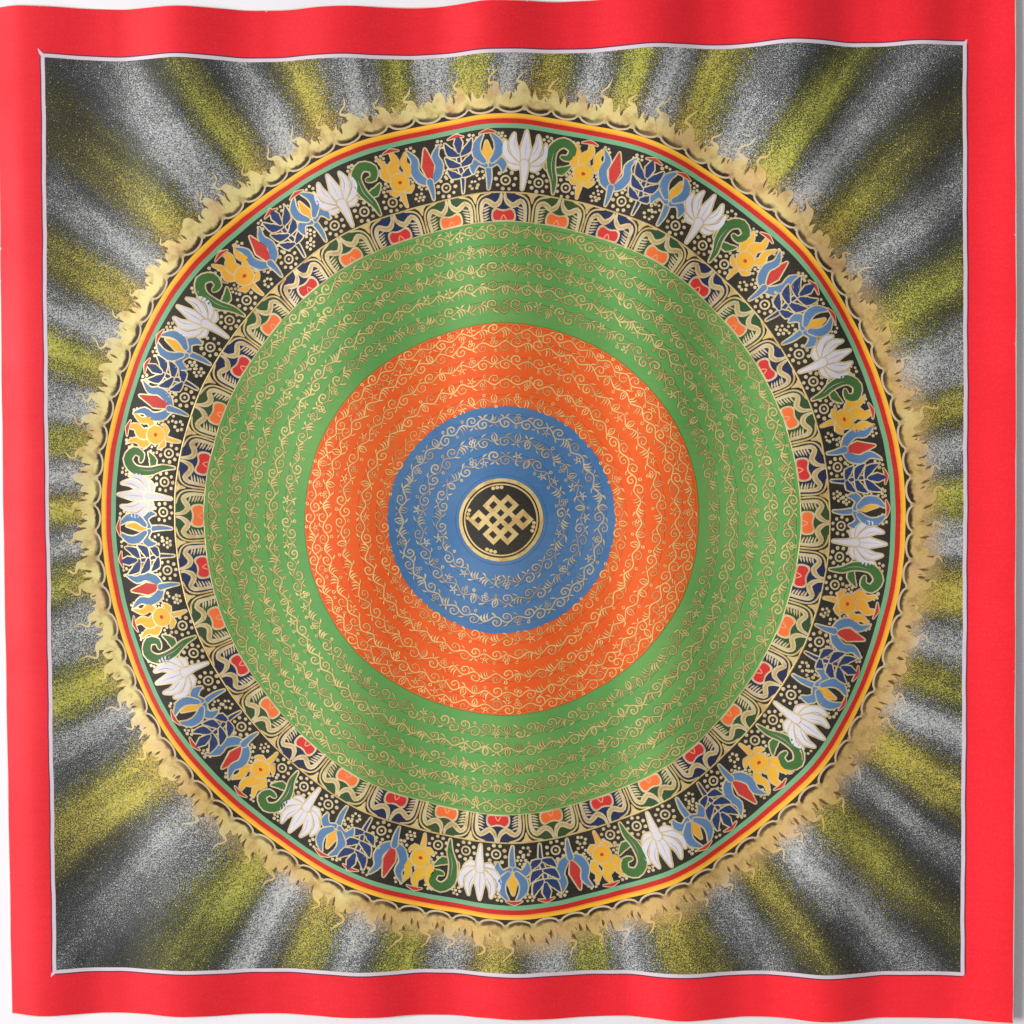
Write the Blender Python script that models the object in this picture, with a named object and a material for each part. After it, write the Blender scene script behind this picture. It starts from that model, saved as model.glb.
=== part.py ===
"""A painted cotton thangka: one square sheet of primed canvas, lying loose in soft parallel waves.

Metres, +Z up. Seen from above, +X is the painting's right and +Y its top. The origin is the middle of the
sheet, at the height of the surface that it lies on.
"""

from collections import namedtuple
from itertools import pairwise
from math import cos, hypot, pi

import bmesh
import bpy

# The sheet as it was cut, measured along the cloth
CUT_WIDTH = 0.510
CUT_LENGTH = 0.510
OUT_OF_SQUARE = 0.0013
THICKNESS = 0.001

# The top edge sags a little, left of its middle
TOP_SAG = 0.0034
TOP_SAG_CENTRE = -0.085
TOP_SAG_REACH = 0.200

# The waves run from the top edge to the bottom edge. Each row is one wave, from left to right: where its
# crest line meets the two edges, its height there and half-way down, and the trough that follows it.
Fold = namedtuple(
    "Fold",
    "crest_top crest_bottom height_top height_middle height_bottom trough_top trough_bottom",
)
FOLDS = [
    Fold(-0.2380, -0.2360, 0.0048, 0.0038, 0.0046, -0.1950, -0.2010),
    Fold(-0.1610, -0.1640, 0.0058, 0.0043, 0.0044, -0.1200, -0.1200),
    Fold(-0.0810, -0.0710, 0.0046, 0.0038, 0.0045, -0.0380, -0.0350),
    Fold(-0.0040, +0.0060, 0.0057, 0.0042, 0.0054, +0.0370, +0.0555),
    Fold(+0.0735, +0.0870, 0.0050, 0.0044, 0.0052, +0.1060, +0.1260),
    Fold(+0.1425, +0.1600, 0.0068, 0.0052, 0.0052, +0.1785, +0.1955),
    Fold(+0.2060, +0.2100, 0.0026, 0.0006, 0.0000, +0.2300, +0.2170),
    Fold(+0.2600, +0.2560, 0.0046, 0.0038, 0.0058, +0.3000, +0.3000),
]
# The trough before the first wave would lie just past the left edge
FIRST_TROUGH = -0.2630
# Along each trough a narrow strip of the cloth lies flat
LYING_STRIP = 0.006

# Mesh steps: across one flank of a wave, and down the whole sheet
FLANK_STEPS = 6
ROWS = 16
# Step and rounds for measuring along the cloth
MEASURING_STEP = 0.001
MEASURING_ROUNDS = 3

RED_PAINT = (0.75, 0.045, 0.065, 1.0)
PAINT_ROUGHNESS = 0.6


def clear_scene():
    for old in list(bpy.data.objects):
        bpy.data.objects.remove(old, do_unlink=True)


def mix(first, last, share):
    return first + (last - first) * share


def ease(share):
    """Rises from 0 to 1 like half a wave, level at both ends."""
    return (1 - cos(pi * min(max(share, 0.0), 1.0))) / 2


def fold_height(fold, down):
    """Height of a wave's crest, with down going from 0 at the top edge to 1 at the bottom edge."""
    if down < 0.5:
        return mix(fold.height_top, fold.height_middle, ease(2 * down))
    return mix(fold.height_middle, fold.height_bottom, ease(2 * down - 1))


def crest_at(fold, down):
    return mix(fold.crest_top, fold.crest_bottom, down)


def trough_at(fold, down):
    return mix(fold.trough_top, fold.trough_bottom, down)


def underside(x, down):
    """Height of the cloth's underside over the surface."""
    trough = FIRST_TROUGH
    for fold in FOLDS:
        crest = crest_at(fold, down)
        next_trough = trough_at(fold, down)
        if x < next_trough:
            foot = trough + LYING_STRIP / 2 if x < crest else next_trough - LYING_STRIP / 2
            return fold_height(fold, down) * ease((x - foot) / (crest - foot))
        trough = next_trough
    return 0.0


def length_along(left, right, down):
    """Length of cloth between two places on one row, measured up and down its waves."""
    steps = round((right - left) / MEASURING_STEP)
    places = [mix(left, right, step / steps) for step in range(steps + 1)]
    heights = [underside(x, down) for x in places]
    return sum(
        hypot(x - last_x, z - last_z)
        for (last_x, last_z), (x, z) in pairwise(zip(places, heights))
    )


def half_width(down):
    """Half the sheet's width as it lies, which is what the waves leave of its cut width."""
    half = CUT_WIDTH / 2
    for _ in range(MEASURING_ROUNDS):
        half += (CUT_WIDTH - length_along(-half, half, down)) / 2
    return half


def columns(down):
    """Places across one row of the mesh: the edges, each crest, both sides of each lying strip, and steps."""
    half = half_width(down)
    marks = [-half]
    for fold in FOLDS[:-1]:
        trough = trough_at(fold, down)
        marks += [crest_at(fold, down), trough - LYING_STRIP / 2, trough + LYING_STRIP / 2]
    marks.append(half)
    places = [-half]
    for number, (start, end) in enumerate(pairwise(marks)):
        crosses_strip = number % 3 == 2
        steps = 1 if crosses_strip else FLANK_STEPS
        places += [mix(start, end, step / steps) for step in range(1, steps + 1)]
    return places


def length_place(x, down):
    """Place down the sheet, between the sagging top edge and the bottom edge, both a little out of square."""
    slant = OUT_OF_SQUARE * (0.5 - x / CUT_WIDTH)
    sag = TOP_SAG * ease(1 - abs(x - TOP_SAG_CENTRE) / TOP_SAG_REACH)
    top = CUT_LENGTH / 2 - slant - sag
    bottom = -CUT_LENGTH / 2 + slant / 2
    return mix(top, bottom, down)


def painted_cotton():
    material = bpy.data.materials.new("painted_cotton")
    material.use_nodes = True
    shader = material.node_tree.nodes["Principled BSDF"]
    shader.inputs["Base Color"].default_value = RED_PAINT
    shader.inputs["Roughness"].default_value = PAINT_ROUGHNESS
    shader.inputs["Metallic"].default_value = 0.0
    return material


def canvas():
    """The sheet's underside as a grid laid over the waves, made a closed solid by its thickness."""
    places = [columns(row / ROWS) for row in range(ROWS + 1)]
    steps_across = len(places[0]) - 1
    sheet = bmesh.new()
    bmesh.ops.create_grid(sheet, x_segments=steps_across, y_segments=ROWS, size=1)
    for vertex in sheet.verts:
        column = round((vertex.co.x + 1) / 2 * steps_across)
        row = round((1 - vertex.co.y) / 2 * ROWS)
        down = row / ROWS
        x = places[row][column]
        vertex.co = (x, length_place(x, down), underside(x, down))

    mesh = bpy.data.meshes.new("canvas")
    sheet.to_mesh(mesh)
    sheet.free()
    mesh.shade_smooth()
    mesh.materials.append(painted_cotton())
    piece = bpy.data.objects.new("canvas", mesh)
    bpy.context.scene.collection.objects.link(piece)

    cloth = piece.modifiers.new("thickness", "SOLIDIFY")
    cloth.thickness = THICKNESS
    cloth.offset = 1
    cloth.use_even_offset = True
    return piece


clear_scene()
canvas()
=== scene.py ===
"""The looks of a painted cotton thangka: a square of primed canvas that lies in soft waves, with a red
border, a pale keyline, and a ringed mandala on a dark ground of sprayed rays.

Everything painted is drawn flat first, as it would be on a stretched cloth, and is then laid on the waves.
Lengths of the drawing are in millimetres, and everything laid down is in metres, +Z up.
"""

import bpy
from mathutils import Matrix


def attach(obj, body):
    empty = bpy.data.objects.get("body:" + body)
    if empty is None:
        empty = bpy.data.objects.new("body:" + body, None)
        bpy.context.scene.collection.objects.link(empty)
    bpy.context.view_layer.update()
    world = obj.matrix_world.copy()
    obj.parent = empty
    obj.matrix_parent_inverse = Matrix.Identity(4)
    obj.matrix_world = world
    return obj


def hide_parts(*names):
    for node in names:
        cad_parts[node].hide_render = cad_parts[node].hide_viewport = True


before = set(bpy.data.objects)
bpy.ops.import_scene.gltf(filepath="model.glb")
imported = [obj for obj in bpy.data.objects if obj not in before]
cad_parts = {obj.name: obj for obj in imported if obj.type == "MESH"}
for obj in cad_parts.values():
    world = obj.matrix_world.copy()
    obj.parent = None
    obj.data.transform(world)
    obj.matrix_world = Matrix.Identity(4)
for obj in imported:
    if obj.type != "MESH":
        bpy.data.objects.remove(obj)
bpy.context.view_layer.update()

from collections import namedtuple
from itertools import pairwise
from math import ceil, cos, floor, hypot, pi, radians, sin
from random import Random

import bmesh
import bpy
import numpy as np

MM = 0.001

# The sheet as it was cut, and its waves, as in the part
CUT_WIDTH = 0.510
CUT_LENGTH = 0.510
OUT_OF_SQUARE = 0.0013
TOP_SAG = 0.0034
TOP_SAG_CENTRE = -0.085
TOP_SAG_REACH = 0.200
Fold = namedtuple(
    "Fold",
    "crest_top crest_bottom height_top height_middle height_bottom trough_top trough_bottom",
)
FOLDS = [
    Fold(-0.2380, -0.2360, 0.0048, 0.0038, 0.0046, -0.1950, -0.2010),
    Fold(-0.1610, -0.1640, 0.0058, 0.0043, 0.0044, -0.1200, -0.1200),
    Fold(-0.0810, -0.0710, 0.0046, 0.0038, 0.0045, -0.0380, -0.0350),
    Fold(-0.0040, +0.0060, 0.0057, 0.0042, 0.0054, +0.0370, +0.0555),
    Fold(+0.0735, +0.0870, 0.0050, 0.0044, 0.0052, +0.1060, +0.1260),
    Fold(+0.1425, +0.1600, 0.0068, 0.0052, 0.0052, +0.1785, +0.1955),
    Fold(+0.2060, +0.2100, 0.0026, 0.0006, 0.0000, +0.2300, +0.2170),
    Fold(+0.2600, +0.2560, 0.0046, 0.0038, 0.0058, +0.3000, +0.3000),
]
FIRST_TROUGH = -0.2630
LYING_STRIP = 0.006

# Thickness of the cloth with its chalk ground
CLOTH = 0.90

# The painting on the sheet
KEYLINE_CENTRE = (0.0, -1.0)
KEYLINE_HALF = 231.0
MANDALA_CENTRE = np.array([-1.6, -2.2])
# How much wider than high its rings came out, and how much they lean
WIDER = 0.0045
SKEWED = 0.0060


def mix(first, last, share):
    return first + (last - first) * share


def ease(share):
    """Rises from 0 to 1 like half a wave, level at both ends."""
    return (1 - np.cos(pi * np.clip(share, 0.0, 1.0))) / 2


def fold_heights(fold, down):
    upper = mix(fold.height_top, fold.height_middle, ease(2 * down))
    lower = mix(fold.height_middle, fold.height_bottom, ease(2 * down - 1))
    return np.where(down < 0.5, upper, lower)


def underside(x, down):
    """Height of the cloth's underside over the surface that it lies on."""
    height = np.zeros(np.shape(x))
    waiting = np.ones(np.shape(x), bool)
    trough = np.full(np.shape(x), FIRST_TROUGH)
    for fold in FOLDS:
        crest = mix(fold.crest_top, fold.crest_bottom, down)
        next_trough = mix(fold.trough_top, fold.trough_bottom, down)
        here = waiting & (x < next_trough)
        foot = np.where(x < crest, trough + LYING_STRIP / 2, next_trough - LYING_STRIP / 2)
        rise = fold_heights(fold, down) * ease((x - foot) / (crest - foot))
        height = np.where(here, rise, height)
        waiting &= ~here
        trough = next_trough
    return height


MEASURED_ROWS = 64
MEASURING_STEP = 0.0005
MEASURING_ROUNDS = 3


def measured_row(down):
    """Places across one row of the sheet, for even steps of length along the cloth."""
    half = CUT_WIDTH / 2
    for _ in range(MEASURING_ROUNDS):
        places = np.linspace(-half, half, round(2 * half / MEASURING_STEP) + 1)
        heights = underside(places, np.full(len(places), down))
        lengths = np.concatenate([[0.0], np.cumsum(np.hypot(np.diff(places), np.diff(heights)))])
        half += (CUT_WIDTH - lengths[-1]) / 2
    even = np.linspace(0.0, lengths[-1], round(CUT_WIDTH / MEASURING_STEP) + 1)
    return np.interp(even, lengths, places)


MEASURED = np.array([measured_row(row / MEASURED_ROWS) for row in range(MEASURED_ROWS + 1)])


def place_across(along, down):
    """Where a length along the cloth comes to lie, read between the measured rows."""
    column = np.clip((along + CUT_WIDTH / 2) / MEASURING_STEP, 0, MEASURED.shape[1] - 1.001)
    row = np.clip(down * MEASURED_ROWS, 0, MEASURED_ROWS - 0.001)
    left, upper = np.floor(column).astype(int), np.floor(row).astype(int)
    over, below = column - left, row - upper
    first = mix(MEASURED[upper, left], MEASURED[upper, left + 1], over)
    second = mix(MEASURED[upper + 1, left], MEASURED[upper + 1, left + 1], over)
    return mix(first, second, below)


def length_place(x, down):
    slant = OUT_OF_SQUARE * (0.5 - x / CUT_WIDTH)
    sag = TOP_SAG * ease(1 - np.abs(x - TOP_SAG_CENTRE) / TOP_SAG_REACH)
    top = CUT_LENGTH / 2 - slant - sag
    bottom = -CUT_LENGTH / 2 + slant / 2
    return mix(top, bottom, down)


def ripples(waves, across, along=0.0):
    """A sum of waves, each with its size, its turning across and along the sheet, and its phase."""
    return sum(size * np.sin(right * across + up * along + phase) for size, right, up, phase in waves)


# Small unevenness of a cloth that has been rolled and painted, as a share of a fold's height
COCKLES = [(0.025, 61, 23, 1.3), (0.020, 97, -41, 0.4), (0.015, 170, 60, 2.0)]
# How far a hand strays from its compass and ruler, in millimetres
STRAYING_RIGHT = [(0.12, 60, 110, 0.0), (0.06, -190, 320, 1.0)]
STRAYING_UP = [(0.12, 100, -70, 2.0), (0.06, 290, 210, 0.6)]
# The mandala came out wide and skewed. Over the last stretch of its reach that fades out, in metres.
MISDRAWN_REACH = 0.230
MISDRAWN_FADING = 0.014
SKEW_MEASURED = 0.200


def lower_face(across, along):
    """Points of the cloth's underside, for places on the flat sheet."""
    down = (CUT_LENGTH / 2 - along) / CUT_LENGTH
    x = place_across(across, down)
    z = underside(x, down) * (1 + ripples(COCKLES, across, along))
    return np.stack([x, length_place(x, down), z], axis=-1)


NORMAL_REACH = 0.0004


def on_cloth(flat):
    """Lays flat places, whose height is over the cloth's underside, on the waves."""
    across, along, height = flat.T
    rightward = lower_face(across + NORMAL_REACH, along) - lower_face(across - NORMAL_REACH, along)
    upward = lower_face(across, along + NORMAL_REACH) - lower_face(across, along - NORMAL_REACH)
    normal = np.cross(rightward, upward)
    normal /= np.linalg.norm(normal, axis=1, keepdims=True)
    return lower_face(across, along) + normal * height[:, None]


def hand_drift(across, along):
    """How far painted places stray from where they were drawn, in metres."""
    x, y = across - MANDALA_CENTRE[0] * MM, along - MANDALA_CENTRE[1] * MM
    far = np.hypot(x, y)
    share = np.clip((MISDRAWN_REACH - far) / MISDRAWN_FADING, 0.0, 1.0)
    skew = SKEWED * (far / SKEW_MEASURED) ** 2
    right = ripples(STRAYING_RIGHT, across, along) * MM + (WIDER * x - skew * y) * share
    up = ripples(STRAYING_UP, across, along) * MM - (WIDER * y + skew * x) * share
    return np.stack([right, up], axis=1)


# Making flat shapes into laid pieces

# Points nearer to each other than this are one point, in metres
SAME = 1e-7
# Paint reaches this far into what it lies on, in millimetres
SUNK = 0.05
# Size of the cells of a film, in millimetres
CELL_ACROSS = 2.2
CELL_DOWN = 12.0
RIM_SEGMENTS = 360
MAP_MARGIN = 0.01


def mesh_of(drawing, name):
    mesh = bpy.data.meshes.new(name)
    drawing.to_mesh(mesh)
    drawing.free()
    return mesh


def show(name, data):
    """Puts a thing into the scene."""
    thing = bpy.data.objects.new(name, data)
    bpy.context.scene.collection.objects.link(thing)
    return thing


def lay_down(name, drawing, material, painted=True, sharp=30):
    """Lays a flat drawn solid on the cloth, and makes it a piece of the model."""
    bmesh.ops.recalc_face_normals(drawing, faces=drawing.faces)
    mesh = mesh_of(drawing, name)
    drawn = np.empty(len(mesh.vertices) * 3, np.float32)
    mesh.vertices.foreach_get("co", drawn)
    kept = mesh.attributes.new("drawn_at", "FLOAT_VECTOR", "POINT")
    kept.data.foreach_set("vector", drawn)
    places = drawn.reshape(-1, 3).astype(float)
    if painted:
        flat_map = places[:, :2] - places[:, :2].min(axis=0)
        flat_map = MAP_MARGIN + (1 - 2 * MAP_MARGIN) * flat_map / flat_map.max()
        corners = np.empty(len(mesh.loops), np.int32)
        mesh.loops.foreach_get("vertex_index", corners)
        layer = mesh.uv_layers.new(name="OFBake")
        layer.data.foreach_set("uv", flat_map[corners].astype(np.float32).ravel())
        places[:, :2] += hand_drift(*places[:, :2].T)
    mesh.vertices.foreach_set("co", on_cloth(places).astype(np.float32).ravel())
    mesh.shade_smooth()
    mesh.update()
    mesh.set_sharp_from_angle(angle=radians(sharp))
    mesh.materials.append(material)
    piece = show(name, mesh)
    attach(piece, "root")
    return piece


def cut_at(drawing, parts, axis, place):
    """Cuts flat faces at one place on an axis, and returns what came of them."""
    way = ((1, 0, 0), (0, 1, 0))[axis]
    point = tuple(place * part for part in way)
    return bmesh.ops.bisect_plane(drawing, geom=parts, dist=SAME, plane_co=point, plane_no=way)["geom"]


def cut_into_cells(drawing):
    """Cuts flat faces every few millimetres, so that they bend with the waves."""
    for axis, step in ((0, CELL_ACROSS * MM), (1, CELL_DOWN * MM)):
        reaches = [vertex.co[axis] for vertex in drawing.verts]
        rest = list(drawing.faces)
        for count in range(ceil(min(reaches) / step), floor(max(reaches) / step) + 1):
            place = count * step
            crossing, beyond = [], []
            for face in rest:
                spread = [vertex.co[axis] for vertex in face.verts]
                if max(spread) > place + SAME:
                    (crossing if min(spread) < place - SAME else beyond).append(face)
            if crossing:
                edges = {edge for face in crossing for edge in face.edges}
                corners = {vertex for face in crossing for vertex in face.verts}
                cut = cut_at(drawing, [*crossing, *edges, *corners], axis, place)
                beyond += [part for part in cut if isinstance(part, bmesh.types.BMFace)]
            rest = beyond
    return drawing


def raised(drawing):
    """Makes flat faces solid, and returns the corners of their upper side."""
    parts = bmesh.ops.extrude_face_region(drawing, geom=drawing.faces[:])["geom"]
    return [part for part in parts if isinstance(part, bmesh.types.BMVert)]


def from_centre(point):
    """Distance of a flat place from the mandala's centre, in millimetres."""
    return hypot(point.x / MM - MANDALA_CENTRE[0], point.y / MM - MANDALA_CENTRE[1])


def film(name, drawing, top, material, covered=0.0):
    """Makes a flat shape a film of paint, open within the radius that the next film covers."""
    cells = cut_into_cells(drawing).faces
    hidden = [cell for cell in cells if all(from_centre(corner.co) < covered for corner in cell.verts)]
    bmesh.ops.delete(drawing, geom=hidden, context="FACES")
    for vertex in drawing.verts:
        vertex.co.z = (CLOTH - SUNK) * MM
    for vertex in raised(drawing):
        vertex.co.z = (CLOTH + top) * MM
    return lay_down(name, drawing, material)


def polar(reach, turned):
    """Places at distances from the mandala's centre, and at angles clockwise from its top in radians."""
    way = np.stack([np.sin(turned), np.cos(turned)], axis=-1)
    return MANDALA_CENTRE + np.asarray(reach)[..., None] * way


def rim_of(drawing, rim, segments):
    """A ring of edges about the mandala's centre. It has one radius, or a radius for each angle."""
    edge = bmesh.ops.create_circle(drawing, segments=segments, radius=1.0)["verts"]
    for vertex in edge:
        angle = np.arctan2(vertex.co.x, vertex.co.y)
        vertex.co.xy = tuple(polar(rim(angle) if callable(rim) else rim, angle) * MM)
    return edge


def disc_film(name, outer, top, material, covered=0.0):
    drawing = bmesh.new()
    bmesh.ops.contextual_create(drawing, geom=rim_of(drawing, outer, RIM_SEGMENTS))
    film(name, drawing, top, material, covered)


def ring_film(name, inner, outer, top, material, segments=RIM_SEGMENTS):
    """A narrow ring of paint between two rims."""
    drawing = bmesh.new()
    for rim in (inner, outer):
        rim_of(drawing, rim, segments)
    bmesh.ops.bridge_loops(drawing, edges=drawing.edges[:])
    film(name, drawing, top, material)


def square_film(name, centre, half, top, material, hole=None, covered=0.0):
    """A square of paint, or a frame where it has a hole about the keyline's centre."""
    drawing = bmesh.new()
    corners = [(centre[0] + x * half, centre[1] + y * half) for x, y in ((-1, -1), (1, -1), (1, 1), (-1, 1))]
    drawing.faces.new([drawing.verts.new((x * MM, y * MM, 0)) for x, y in corners])
    if hole:
        for axis in (0, 1):
            for side in (-1, 1):
                parts = [*drawing.verts, *drawing.edges, *drawing.faces]
                cut_at(drawing, parts, axis, (KEYLINE_CENTRE[axis] + side * hole) * MM)
        middles = [(face, face.calc_center_median()) for face in drawing.faces]
        inside = [
            face
            for face, middle in middles
            if max(abs(middle[axis] / MM - KEYLINE_CENTRE[axis]) for axis in (0, 1)) < hole
        ]
        bmesh.ops.delete(drawing, geom=inside, context="FACES")
    film(name, drawing, top, material, covered)


# Brush strokes

ANY_WIDTH = 99.0
RIDGE = [(-1.0, 0.0), (0.0, 1.0), (1.0, 0.0)]
# A flat stroke's section has more corners the wider it is, so that it bends with the waves
FLAT_SECTIONS = [
    (2.6, [(-1.0, 0.0), (-0.9, 1.0), (0.9, 1.0), (1.0, 0.0)]),
    (4.8, [(-1.0, 0.0), (-0.94, 1.0), (0.0, 1.0), (0.94, 1.0), (1.0, 0.0)]),
    (ANY_WIDTH, [(-1.0, 0.0), (-0.95, 1.0), (-0.48, 1.0), (0.0, 1.0), (0.48, 1.0), (0.95, 1.0), (1.0, 0.0)]),
]
# Strokes of one paint lie over each other in turn, each a hair higher than the last
LAYERS = 13
LAYER_LIFT = 0.005
# Less than this is no height, in the units that hold the layers
LEAST_HEIGHT = 1e-5
# Edges turning by more than so many degrees look sharp
FLAT_SHARP = 12
RIDGE_SHARP = 40
# Steps along a stroke, and round a patch
STATION_STEP = 1.5
PATCH_STEP = 1.6


def smooth_path(places, widths, closed, step):
    """A smooth line through given points: its stations, and the stroke's width at each."""
    places = np.asarray(places, float)
    widths = np.broadcast_to(np.asarray(widths, float), len(places))
    if closed:
        order = [-1, *range(len(places)), 0, 1]
        guides, thick = places[order], widths[order]
    else:
        guides = np.vstack([2 * places[0] - places[1], places, 2 * places[-1] - places[-2]])
        thick = np.concatenate([widths[:1], widths, widths[-1:]])
    stations, wide = [], []
    for number in range(len(guides) - 3):
        before, start, end, after = guides[number : number + 4]
        steps = max(1, ceil(hypot(*(end - start)) / step))
        share = (np.arange(steps) / steps)[:, None]
        curve = (
            2 * start
            + (end - before) * share
            + (2 * before - 5 * start + 4 * end - after) * share**2
            + (3 * start - before - 3 * end + after) * share**3
        ) / 2
        stations.append(curve)
        wide.append(mix(thick[number + 1], thick[number + 2], share[:, 0]))
    if not closed:
        stations.append(guides[-2:-1])
        wide.append(thick[-1:])
    return np.vstack(stations), np.concatenate(wide)


# Strokes wider than this end round, in millimetres
THICK_END = 1.1
# How high patches are until they are laid, in the units that hold the layers
PATCH_HEIGHT = 0.5
# Places between the corners of a straight line, as shares of its lengths
STRAIGHT_STEPS = (0.0, 0.36, 0.68)
CIRCLE_STEP = 2.2
FEWEST_STATIONS = 48
# A dab's stations, and how far round they reach, as a share of a quarter turn
DAB_STATIONS = 5
DAB_REACH = 0.94
# Widths of an end's last station, as shares of the stroke's width
BLUNT_END = 0.55
ROUND_END = 0.45


def finished_end(stations, wide):
    """Rounds the first end of a stroke where it is thick, and leaves it blunt where it is thin."""
    tip, width = stations[0], wide[0]
    if width <= THICK_END:
        return stations, np.concatenate([[BLUNT_END * width], wide[1:]])
    along = (tip - stations[1]) / max(hypot(*(tip - stations[1])), 1e-6) * width
    rounded = np.vstack([tip + 0.3 * along, tip - 0.05 * along, stations[1:]])
    return rounded, np.concatenate([[ROUND_END * width], wide])


def swept(strokes, section):
    """Solids swept along strokes. The whole part of a stroke's heights is its layer."""
    outline = bpy.data.curves.new("section", "CURVE")
    outline.dimensions = "2D"
    corners = outline.splines.new("POLY")
    corners.points.add(len(section) - 1)
    for point, place in zip(corners.points, section):
        point.co = (*place, 0.0, 1.0)
    corners.use_cyclic_u = True
    path = bpy.data.curves.new("strokes", "CURVE")
    path.dimensions = "3D"
    path.twist_mode = "Z_UP"
    path.bevel_mode = "OBJECT"
    path.bevel_object = show("section", outline)
    path.use_fill_caps = True
    for stations, reach, closed, layer in strokes:
        spline = path.splines.new("POLY")
        spline.points.add(len(stations) - 1)
        places = np.ones((len(stations), 4), np.float32)
        places[:, :2] = stations
        places[:, 2] = layer
        spline.points.foreach_set("co", places.ravel())
        spline.points.foreach_set("radius", (reach * MM).astype(np.float32))
        spline.use_cyclic_u = closed
    path_piece = show("strokes", path)
    mesh = bpy.data.meshes.new_from_object(path_piece.evaluated_get(bpy.context.evaluated_depsgraph_get()))
    for thing in (path_piece, path.bevel_object):
        bpy.data.objects.remove(thing)
    for data in (path, outline):
        bpy.data.curves.remove(data)
    return mesh


class Brush:
    """Strokes and patches of one paint, drawn flat. A function places each one from its own small drawing."""

    def __init__(self):
        self.strokes = []
        self.patches = []

    def add(self, stations, wide, closed, layer=None):
        if layer is None:
            layer = len(self.strokes) % LAYERS
        self.strokes.append((stations, wide / 2, closed, layer))

    def line(self, place, points, widths, step=STATION_STEP, layer=None, blunt=False):
        """A stroke through given points. Its thin ends are blunt, and its thick ends are rounded."""
        stations, wide = smooth_path(points, widths, False, step)
        for _ in () if blunt else ("first end", "last end"):
            stations, wide = finished_end(stations, wide)
            stations, wide = stations[::-1], wide[::-1]
        self.add(place(stations), wide, False, layer)

    def dot(self, place, centre, size, layer=None):
        """A round dab of paint."""
        turns = np.linspace(-DAB_REACH, DAB_REACH, DAB_STATIONS) * pi / 2
        stations = np.array(centre) + np.stack([size / 2 * np.sin(turns), 0 * turns], axis=1)
        self.add(place(stations), size * np.cos(turns), False, layer)

    def ring(self, place, centre, radius, width, corners, layer=None):
        turns = np.arange(corners) * 2 * pi / corners
        stations = np.array(centre) + radius * np.stack([np.cos(turns), np.sin(turns)], axis=1)
        self.add(place(stations), np.full(corners, width), True, layer)

    def full_circle(self, radius, width):
        """A line right round the mandala."""
        count = max(FEWEST_STATIONS, round(2 * pi * radius / CIRCLE_STEP))
        places = polar(radius, np.arange(count) * 2 * pi / count)
        self.add(on_sheet(places), np.full(count, width), True)

    def straight(self, place, corners, width, closed=False):
        """A line of straight lengths, as wide at its right-angled turns as between them."""
        ends = [*corners, corners[0]] if closed else corners
        steps = [
            mix(np.array(start), np.array(end), share)
            for start, end in pairwise(ends)
            for share in STRAIGHT_STEPS
        ]
        if not closed:
            steps.append(np.array(corners[-1]))
        wide = np.full(len(steps), width)
        if closed:
            wide[:: len(STRAIGHT_STEPS)] *= 2**0.5
        self.add(place(np.array(steps)), wide, closed)

    def fill(self, place, points):
        """A patch of flat colour within a smooth outline."""
        stations, _ = smooth_path(points, 1.0, True, PATCH_STEP)
        self.patches.append((place(stations), len(self.patches) % LAYERS))

    def filled(self):
        """The patches as solids. The whole part of a patch's heights is its layer."""
        drawing = bmesh.new()
        for outline, layer in self.patches:
            drawing.faces.new([drawing.verts.new((*point, layer)) for point in outline])
        bmesh.ops.recalc_face_normals(drawing, faces=drawing.faces)
        for vertex in raised(cut_into_cells(drawing)):
            vertex.co.z += PATCH_HEIGHT
        return mesh_of(drawing, "patches")

    def lay(self, name, material, base, height, flat=False, lift=LAYER_LIFT):
        """Sweeps the strokes, fills the patches, and lays them on the cloth."""
        drawing = bmesh.new()
        waiting = self.strokes
        meshes = [self.filled()] if self.patches else []
        for widest, section in FLAT_SECTIONS if flat else [(ANY_WIDTH, RIDGE)]:
            chosen = [stroke for stroke in waiting if 2 * max(stroke[1]) <= widest]
            waiting = [stroke for stroke in waiting if 2 * max(stroke[1]) > widest]
            if chosen:
                meshes.append(swept(chosen, section))
        for mesh in meshes:
            drawing.from_mesh(mesh)
            bpy.data.meshes.remove(mesh)
        bmesh.ops.remove_doubles(drawing, verts=drawing.verts, dist=SAME)
        for vertex in drawing.verts:
            layer = floor(vertex.co.z + LEAST_HEIGHT)
            rest = vertex.co.z - layer
            over = -SUNK
            if rest > LEAST_HEIGHT:
                # Patches, which are drawn higher than strokes, lie between the strokes' layers
                between = PATCH_HEIGHT if rest > PATCH_HEIGHT / 2 else 0.0
                over = height + (layer + between) * lift
            vertex.co.z = (CLOTH + base + over) * MM
        return lay_down(name, drawing, material, sharp=FLAT_SHARP if flat else RIDGE_SHARP)


def around(radius, angle, size=1.0, lean=0.0):
    """Puts a small drawing at a place on a ring: its first axis runs clockwise, and its second outward."""
    def place(points):
        points = np.atleast_2d(points) * size
        x = points[:, 0] + lean * points[:, 1]
        return polar(radius + points[:, 1], radians(angle) + x / radius) * MM
    return place


def on_sheet(points):
    """Puts a drawing on the flat sheet as it is."""
    return np.atleast_2d(points) * MM


# Materials


def srgb(red, green, blue):
    """A colour as a screen shows it, from 0 to 255, as the light that it reflects."""
    parts = [part / 255 for part in (red, green, blue)]
    return (*[p / 12.92 if p <= 0.04045 else ((p + 0.055) / 1.055) ** 2.4 for p in parts], 1.0)


class Wire:
    """A node's output. Reckoning with it puts another node into its tree."""

    def __init__(self, shade, socket):
        self.shade = shade
        self.socket = socket

    def __add__(self, other):
        return self.shade.math("ADD", self, other)

    def __sub__(self, other):
        return self.shade.math("SUBTRACT", self, other)

    def __rsub__(self, other):
        return self.shade.math("SUBTRACT", other, self)

    def __mul__(self, other):
        return self.shade.math("MULTIPLY", self, other)

    def __truediv__(self, other):
        return self.shade.math("DIVIDE", self, other)

    def __pow__(self, other):
        return self.shade.math("POWER", self, other)


# The node groups of the shared effects, once they are built
GROUPS = {}


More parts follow.
